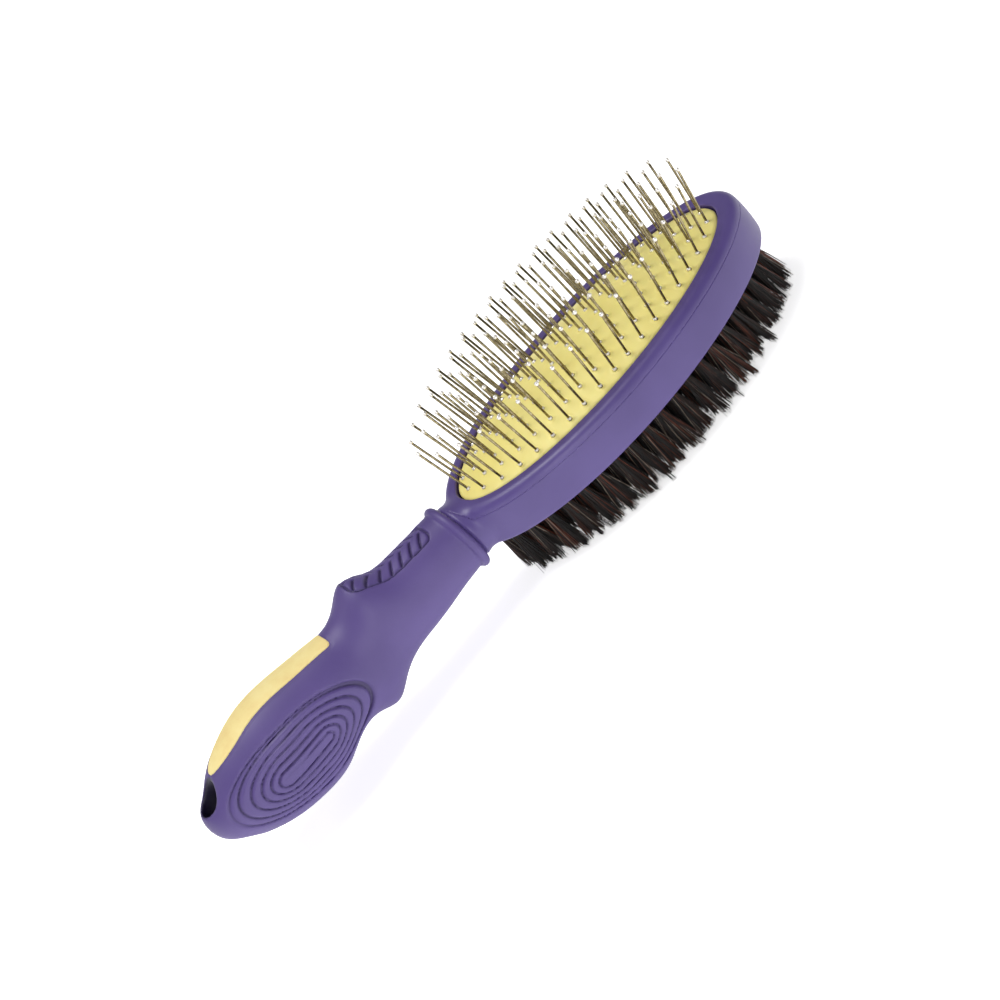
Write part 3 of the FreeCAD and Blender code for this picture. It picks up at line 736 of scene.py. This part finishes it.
def head_outside(x, y, z):
    """The outside of the head and its neck, as if they were one piece."""
    side = oval(x, y, 0.0) + WALL_BULGE * (z / HEAD_TOP) ** 2
    head = smooth_max(side, z - HEAD_TOP, TOP_ROUND)
    head = smooth_max(head, HEAD_BOTTOM - z, BOTTOM_ROUND)
    along = x - COLLAR_END
    neck = ellipse_distance(y, z, NECK_WIDTH(along), NECK_HEIGHT(along))
    groove = 0.7 * np.exp(-((along - 0.3) / 0.45) ** 2)
    neck = np.maximum(neck + groove, np.maximum(-along, along - NECK_END))
    return smooth_min(head, neck, NECK_FILLET)


def footprint(x, y):
    """How far a point is outside the bezel's footprint."""
    return oval(x, y, 0.35)


def frame_field(x, y, z):
    """The head's frame, with the air chamber and the recess for the bristle plate."""
    shape = head_outside(x, y, z)
    above = np.maximum(PARTING_Z + PARTING_LAP - z, footprint(x, y) + PARTING_LAP)
    shape = smooth_max(shape, -above, 0.1)
    opening = ellipse_distance(x - HEAD_X, y, PAD_HALF_LENGTH, PAD_HALF_WIDTH)
    chamber = np.maximum(opening, -z)
    recess = ellipse_distance(x - HEAD_X, y, SEAT_HALF_LENGTH, SEAT_HALF_WIDTH)
    recess = np.maximum(recess, z - PLATE_HIGH[2])
    return np.maximum(smooth_max(shape, -recess, 0.5), -chamber)


def bezel_field(x, y, z):
    """The ring above the parting line, open over the cushion."""
    shape = head_outside(x, y, z)
    shape = smooth_max(shape, PARTING_Z - PARTING_LAP - z, 0.1)
    shape = smooth_max(shape, footprint(x, y) - PARTING_LAP, 0.1)
    opening = ellipse_distance(x - HEAD_X, y, PAD_HALF_LENGTH, PAD_HALF_WIDTH)
    return smooth_max(shape, -opening, 0.7)


def head_pieces():
    """The frame's shell and the bezel's ring."""
    step = 0.46
    low = [COLLAR_END, -HEAD_HALF_WIDTH, HEAD_BOTTOM - 2.5]
    high = [BEZEL_HIGH[0] + END_FULLNESS, HEAD_HALF_WIDTH, HEAD_TOP + 2.5]
    points, faces = field_surface(frame_field, low, high, step)
    shell = new_piece("head_shell", points, faces, [PURPLE_HARD])
    settle_piece(shell, "frame", "frame_plastic", "head_frame")
    low[2] = PARTING_Z
    points, faces = field_surface(bezel_field, low, high, step * 0.75)
    ring = new_piece("bezel_ring", points, faces, [PURPLE_HARD])
    settle_piece(ring, "frame", "bezel_plastic", "cushion_bezel")


# ---------------------------------------------------------------------------------------------
# Cushion and pins.
# ---------------------------------------------------------------------------------------------

def dome_height(u, v):
    """Height of the dome over a point from the head's middle."""
    radius = (DOME_HALF_WIDTH ** 2 + DOME_RISE ** 2) / (2 * DOME_RISE)
    stretched = u * DOME_HALF_WIDTH / DOME_HALF_LENGTH
    under = np.maximum(radius ** 2 - stretched ** 2 - v ** 2, 1)
    return DOME_Z - radius + DOME_RISE + np.sqrt(under)


def solids(node):
    """The separate solids of a CAD node: the points of each, in millimetres."""
    mesh = bmesh.new()
    mesh.from_mesh(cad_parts[node].data)
    bmesh.ops.remove_doubles(mesh, verts=mesh.verts, dist=1e-6)
    mesh.verts.index_update()
    seen = set()
    found = []
    for start in mesh.verts:
        if start.index in seen:
            continue
        seen.add(start.index)
        waiting = [start]
        group = []
        while waiting:
            vertex = waiting.pop()
            group.append(vertex.co / MM)
            for edge in vertex.link_edges:
                other = edge.other_vert(vertex)
                if other.index not in seen:
                    seen.add(other.index)
                    waiting.append(other)
        found.append(np.array(group))
    mesh.free()
    return found


def pin_line(points):
    """The foot's middle and the ball's tip side of one CAD pin."""
    foot = points[points[:, 2] < points[:, 2].min() + 0.05].mean(0)
    reach = np.linalg.norm(points - foot, axis=1)
    tip = points[reach > reach.max() - 0.05].mean(0)
    return foot, tip


def tuft_line(points):
    """The middles of a CAD tuft's root and of its tips."""
    root = points[points[:, 2] > points[:, 2].max() - 0.05].mean(0)
    tips = points[points[:, 2] < points[:, 2].min() + 0.05].mean(0)
    return root, tips


PIN_GROUPS = ["pins_ring_1", "pins_ring_2", "pins_ring_3", "pins_ring_4", "pins_centre_row"]
TUFT_GROUPS = ["tufts_ring_1", "tufts_ring_2", "tufts_ring_3", "tufts_ring_4", "tufts_centre_row"]
PIN_LINES = {group: [pin_line(points) for points in solids(group)] for group in PIN_GROUPS}
TUFT_LINES = {group: [tuft_line(points) for points in solids(group)] for group in TUFT_GROUPS}


# Each pin leaves the skin through an eyelet with a low boss round it.
EYELET_RADIUS = 0.72
BOSS_HEIGHT = 0.22
BOSS_TOP_RADIUS = 0.8
BOSS_FOOT_RADIUS = 1.7
# Spacing of the table in which the eyelets are looked up.
TABLE_STEP = 0.1
# How far the pins stray from true, as a slope.
PIN_STRAY = 0.006


def eyelet_heights(x, y):
    """How far the cushion stands up round each pin, and how near the nearest pin is."""
    nearest = np.full(np.broadcast(x, y).shape, 99.0)
    for lines in PIN_LINES.values():
        for foot, tip in lines:
            way = (tip - foot) / np.linalg.norm(tip - foot)
            rise = dome_height(foot[0] - HEAD_X, foot[1]) - foot[2]
            middle = foot + way * rise / way[2]
            nearest = np.minimum(nearest, np.hypot(x - middle[0], y - middle[1]))
    boss = BOSS_HEIGHT * (1 - smooth_step(BOSS_TOP_RADIUS, BOSS_FOOT_RADIUS, nearest))
    return boss, nearest


def cushion_skin():
    """The yellow pneumatic cushion: a domed skin with a moulded eyelet round every pin."""
    step = 0.37
    low = [HEAD_X - SEAT_HALF_LENGTH, -SEAT_HALF_WIDTH, FLANGE_Z]
    high = [HEAD_X + SEAT_HALF_LENGTH, SEAT_HALF_WIDTH, SKIN_HIGH[2] + 0.4]
    xs = np.arange(low[0] - 1, high[0] + 1, TABLE_STEP)
    ys = np.arange(low[1] - 1, high[1] + 1, TABLE_STEP)
    boss_map, pin_map = eyelet_heights(xs[:, None], ys[None, :])

    def looked_up(table, x, y):
        u = np.clip((x - xs[0]) / TABLE_STEP, 0, len(xs) - 1.001)
        v = np.clip((y - ys[0]) / TABLE_STEP, 0, len(ys) - 1.001)
        i = u.astype(int)
        j = v.astype(int)
        s = u - i
        t = v - j
        first = table[i, j] * (1 - s) + table[i + 1, j] * s
        second = table[i, j + 1] * (1 - s) + table[i + 1, j + 1] * s
        return first * (1 - t) + second * t

    def skin_field(x, y, z):
        u = x - HEAD_X
        top = dome_height(u, y)
        wall = ellipse_distance(u, y, DOME_HALF_LENGTH, DOME_HALF_WIDTH)
        outer = smooth_max(z - top - looked_up(boss_map, x, y), wall, 1.5)
        inner = smooth_max(z - top + SKIN_THICKNESS, wall + SKIN_THICKNESS, 1.0)
        cap = np.maximum(outer, -inner)
        edge = ellipse_distance(u, y, SEAT_HALF_LENGTH - DOME_GAP, SEAT_HALF_WIDTH - DOME_GAP)
        flange = np.maximum(edge, z - FLANGE_Z - FLANGE_THICKNESS)
        flange = np.maximum(flange, -(wall + SKIN_THICKNESS))
        shape = np.maximum(np.minimum(cap, flange), FLANGE_Z - z)
        hole = EYELET_RADIUS - looked_up(pin_map, x, y)
        return smooth_max(shape, np.maximum(hole, top - 0.9 - z), 0.3)

    points, faces = field_surface(skin_field, low, high, step)
    piece = new_piece("cushion_skin", points, faces, [PAD_YELLOW])
    settle_piece(piece, "frame", "cushion_rubber", "cushion_membrane")
    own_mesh(piece)


def turned(profile, sides):
    """A closed turned shape along +Z from (radius, height) pairs that start and end on the axis."""
    points = []
    faces = []
    for radius, height in profile[1:-1]:
        for side in range(sides):
            angle = 2 * math.pi * side / sides
            points.append((radius * math.cos(angle), radius * math.sin(angle), height))
    rings = len(profile) - 2
    points.append((0, 0, profile[0][1]))
    points.append((0, 0, profile[-1][1]))
    bottom = len(points) - 2
    top = bottom + 1
    for side in range(sides):
        after = (side + 1) % sides
        faces.append((bottom, after, side, side))
        for ring in range(rings - 1):
            a = ring * sides
            b = a + sides
            faces.append((a + side, a + after, b + after, b + side))
        last = (rings - 1) * sides
        faces.append((last + side, last + after, top, top))
    return np.array(points, float), np.array(faces)


def joined(parts):
    """Several (points, faces) as one, with each face's part number."""
    points = []
    faces = []
    numbers = []
    base = 0
    for number, (part_points, part_faces) in enumerate(parts):
        points.append(part_points)
        faces.append(part_faces + base)
        numbers.append(np.full(len(part_faces), number))
        base += len(part_points)
    return np.concatenate(points), np.concatenate(faces), np.concatenate(numbers)


def ball_shape(radius, centre, sides):
    """A ball on the axis."""
    steps = 12
    arc = []
    for step in range(steps + 1):
        angle = math.pi * step / steps
        arc.append((radius * math.sin(angle), centre - radius * math.cos(angle)))
    return turned(arc, sides)


def pin_shapes():
    """A wire, its ball end and the bead where it leaves the skin, along +Z from its foot."""
    foot, tip = PIN_LINES["pins_ring_1"][0]
    reach = np.linalg.norm(tip - foot)
    rise = dome_height(foot[0] - HEAD_X, foot[1]) - foot[2]
    skin = rise * (tip - foot)[2] / reach
    centre = reach - BALL_RADIUS
    wire = turned([
        (0, 0), (1.3, 0.02), (1.35, 0.4), (0.52, 0.52), (WIRE_RADIUS, 0.9),
        (WIRE_RADIUS, centre * 0.5), (WIRE_RADIUS, centre - 0.3), (0, centre)], 14)
    return wire, ball_shape(BALL_RADIUS, centre, 18), ball_shape(BEAD_RADIUS, skin + 0.1, 18)


def pins():
    """The pins of each ring, hardly off true, with their balls and beads."""
    shapes = pin_shapes()
    for group, lines in PIN_LINES.items():
        parts = []
        kinds = []
        for foot, tip in lines:
            lean = Vector((random.gauss(0, PIN_STRAY), random.gauss(0, PIN_STRAY), 0))
            way = (Vector(tip - foot).normalized() + lean).normalized()
            turn = np.array(way.to_track_quat("Z", "Y").to_matrix())
            for number, (points, faces) in enumerate(shapes):
                parts.append((points @ turn.T + foot, faces))
                kinds.append(min(number, 1))
        points, faces, numbers = joined(parts)
        piece = new_piece(group.replace("pins", "pin_wires"), points, faces, [WIRE, BALL])
        piece.data.polygons.foreach_set("material_index", np.array(kinds)[numbers])
        settle_piece(piece, group, "pin_steel", group)


# ---------------------------------------------------------------------------------------------
# Bristles: every tuft is a bunch of tapered hairs, most of them black or dark brown.
# ---------------------------------------------------------------------------------------------

def hair_shape(start, mouth, end, bow, thick):
    """One hair from its root, through the mouth of its hole, to its tip, tapering."""
    stops = 4
    sides = 3
    points = []
    for stop in range(stops + 1):
        share = stop / stops
        if stop == 0:
            middle = start
        else:
            run = (stop - 1) / (stops - 1)
            middle = mouth + (end - mouth) * run + bow * (run * run * (3 - 2 * run))
        radius = thick * (1 - 0.6 * share ** 2.5)
        for side in range(sides):
            angle = 2 * math.pi * side / sides
            x = middle[0] + radius * math.cos(angle)
            y = middle[1] + radius * math.sin(angle)
            points.append((x, y, middle[2]))
    faces = [(2, 1, 0, 0)]
    for stop in range(stops):
        a = stop * sides
        b = a + sides
        for side in range(sides):
            after = (side + 1) % sides
            faces.append((a + after, a + side, b + side, b + after))
    last = stops * sides
    faces.append((last, last + 1, last + 2, last + 2))
    return np.array(points), np.array(faces)


# Radii of a bunch of hairs at its root and at the mouth of its hole, and of its spread tips.
ROOT_RADIUS = 1.1
MOUTH_RADIUS = 1.12
TUFT_SPREAD = 3.7
# How many times more a tuft leans to the side than its plain solid does.
SIDE_LEAN = 1.8
# The most that a clump, and any hair, is cut short.
CLUMP_CUT = 2.2
SHORTEST_CUT = 7.0
CLUMPS_PER_TUFT = 6
# How far a hair is drawn to its clump, its bow sideways and its radius.
CLUMP_PULL = (0.3, 0.85)
HAIR_BOW = 0.5
HAIR_RADII = (0.13, 0.2)


def tuft_clumps():
    """Where the clumps of one tuft end, and how much shorter than the tuft each one is."""
    clumps = []
    for _ in range(CLUMPS_PER_TUFT):
        angle = random.uniform(0, 2 * math.pi)
        reach = TUFT_SPREAD * math.sqrt(random.random())
        place = np.array([reach * math.cos(angle), reach * math.sin(angle), 0.0])
        clumps.append((place, random.uniform(0, CLUMP_CUT)))
    return clumps


def tufts():
    """The bristles: hairs spread from each hole, gather in small clumps and end unevenly."""
    hairs_per_tuft = 170
    face = PLATE_LOW[2]
    for group, lines in TUFT_LINES.items():
        parts = []
        kinds = []
        for root, tips in lines:
            lean = tips - np.array([root[0], root[1], tips[2]])
            lean = np.array([abs(lean[0]), SIDE_LEAN * lean[1], 0.0])
            clumps = tuft_clumps()
            for _ in range(hairs_per_tuft):
                angle = random.uniform(0, 2 * math.pi)
                reach = math.sqrt(random.random())
                side = np.array([math.cos(angle), math.sin(angle), 0.0]) * reach
                free = TUFT_SPREAD * side
                clump, short = min(clumps, key=lambda pair: np.linalg.norm(pair[0] - free))
                pull = random.uniform(*CLUMP_PULL)
                spread = free * (1 - pull) + clump * pull
                kind = random.choices(range(len(HAIRS)), HAIR_SHARES)[0]
                stray = HAIR_STRAYS[kind]
                level = tips[2] + min(short + random.expovariate(2.2), SHORTEST_CUT)
                share = (face - level) / (face - tips[2])
                start = root + ROOT_RADIUS * side - np.array([0, 0, 0.3])
                mouth = np.array([root[0], root[1], face]) + MOUTH_RADIUS * side
                end = np.array([root[0], root[1], level]) + (spread + lean) * share
                bow = np.array([random.gauss(0, HAIR_BOW), random.gauss(0, HAIR_BOW), 0.0]) * stray
                thick = random.uniform(*HAIR_RADII) / stray
                parts.append(hair_shape(start, mouth, end, bow, thick))
                kinds.append(kind)
        points, faces, numbers = joined(parts)
        piece = new_piece(group.replace("tufts", "bristles"), points, faces, HAIRS)
        piece.data.polygons.foreach_set("material_index", np.array(kinds)[numbers])
        settle_piece(piece, "frame", "bristle", group)


# ---------------------------------------------------------------------------------------------
# CAD nodes that stay, the floor, the lights and the camera.
# ---------------------------------------------------------------------------------------------

def finish_node(node, material):
    """Gives a CAD node that stays a material of its own."""
    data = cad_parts[node].data
    data.materials.clear()
    data.materials.append(material)


def floor():
    """A wide pale floor just under the bristles."""
    corners = ((-1, -1), (1, -1), (1, 1), (-1, 1))
    points = [(FLOOR_REACH * x, FLOOR_REACH * y, BRISTLE_TIPS_Z) for x, y in corners]
    surface = Surface("floor_pale", 0.9, specular=0.1)
    cloud = surface.noise(3, 2.0)
    surface.tint(cloud, [(0.3, colour(247, 247, 247)), (0.7, colour(250, 250, 250))])
    surface.shader.inputs["Emission Color"].default_value = (1.0, 1.0, 1.0, 1.0)
    surface.shader.inputs["Emission Strength"].default_value = 0.7
    piece = new_piece("floor", points, [(0, 1, 2, 3)], [surface.material], smooth=False)


def lamp(name, place, size, power, aim):
    """A square soft light at a place, aimed at a point, in metres."""
    data = bpy.data.lights.new(name, "AREA")
    data.shape = "SQUARE"
    data.size = size
    data.energy = power
    light = bpy.data.objects.new(name, data)
    light.location = place
    light.rotation_euler = (Vector(aim) - Vector(place)).to_track_quat("-Z", "Y").to_euler()
    bpy.context.scene.collection.objects.link(light)


# How bright the room is at each height, from the horizon to overhead.
SKY_LEVELS = ((0.0, 0.8), (0.14, 0.78), (0.26, 0.1), (0.75, 0.17))


def studio():
    """Soft lights in front and above, in a dim room with a bright band along its horizon."""
    world = bpy.data.worlds.new("studio")
    world.use_nodes = True
    nodes = world.node_tree.nodes
    links = world.node_tree.links
    place = nodes.new("ShaderNodeTexCoord")
    split = nodes.new("ShaderNodeSeparateXYZ")
    ramp = nodes.new("ShaderNodeValToRGB")
    ramp.color_ramp.elements.new(0.3)
    ramp.color_ramp.elements.new(0.5)
    for element, (height, level) in zip(ramp.color_ramp.elements, SKY_LEVELS):
        element.position = height
        element.color = (level, level, level, 1.0)
    links.new(place.outputs["Generated"], split.inputs["Vector"])
    links.new(split.outputs["Z"], ramp.inputs["Fac"])
    links.new(ramp.outputs["Color"], nodes["Background"].inputs["Color"])
    bpy.context.scene.world = world
    middle = (0.11, 0.0, 0.0)
    lamp("key", (-0.06, -0.66, 0.24), 0.3, 1.5, middle)
    lamp("top", (0.0, 0.1, 0.95), 0.45, 7.0, middle)
    lamp("edge", (-0.75, 0.35, 0.55), 0.3, 0.9, middle)
    bpy.context.scene.view_settings.view_transform = "Standard"


# Where the camera's axis passes the butt, in metres to its right and above it.
CAMERA_ASIDE = 0.0818
CAMERA_ABOVE = 0.0936


def camera():
    """A camera 1 m off, above the brush's side, rolled so that the brush stands on its butt."""
    right = Vector((0.6357, -0.4702, -0.6122))
    back = Vector((-0.1570, -0.8553, 0.4938)).normalized()
    up = back.cross(right).normalized()
    right = up.cross(back)
    butt = Vector((BUTT_X, 0, 0)) * MM
    data = bpy.data.cameras.new("camera")
    data.lens = 127.4
    data.sensor_width = 36.0
    data.clip_start = 0.01
    piece = bpy.data.objects.new("camera", data)
    turn = Matrix((right, up, back)).transposed().to_4x4()
    place = butt + right * CAMERA_ASIDE + up * CAMERA_ABOVE + back
    piece.matrix_world = Matrix.Translation(place) @ turn
    bpy.context.scene.collection.objects.link(piece)
    bpy.context.scene.camera = piece


grip_sleeve()
grip_inlay()
head_pieces()
cushion_skin()
pins()
tufts()
finish_node("bristle_plate", plate_plastic())
STAPLE = staple_wire()
for tuft_group in TUFT_GROUPS:
    finish_node(tuft_group.replace("tufts", "staples"), STAPLE)
floor()
studio()
camera()
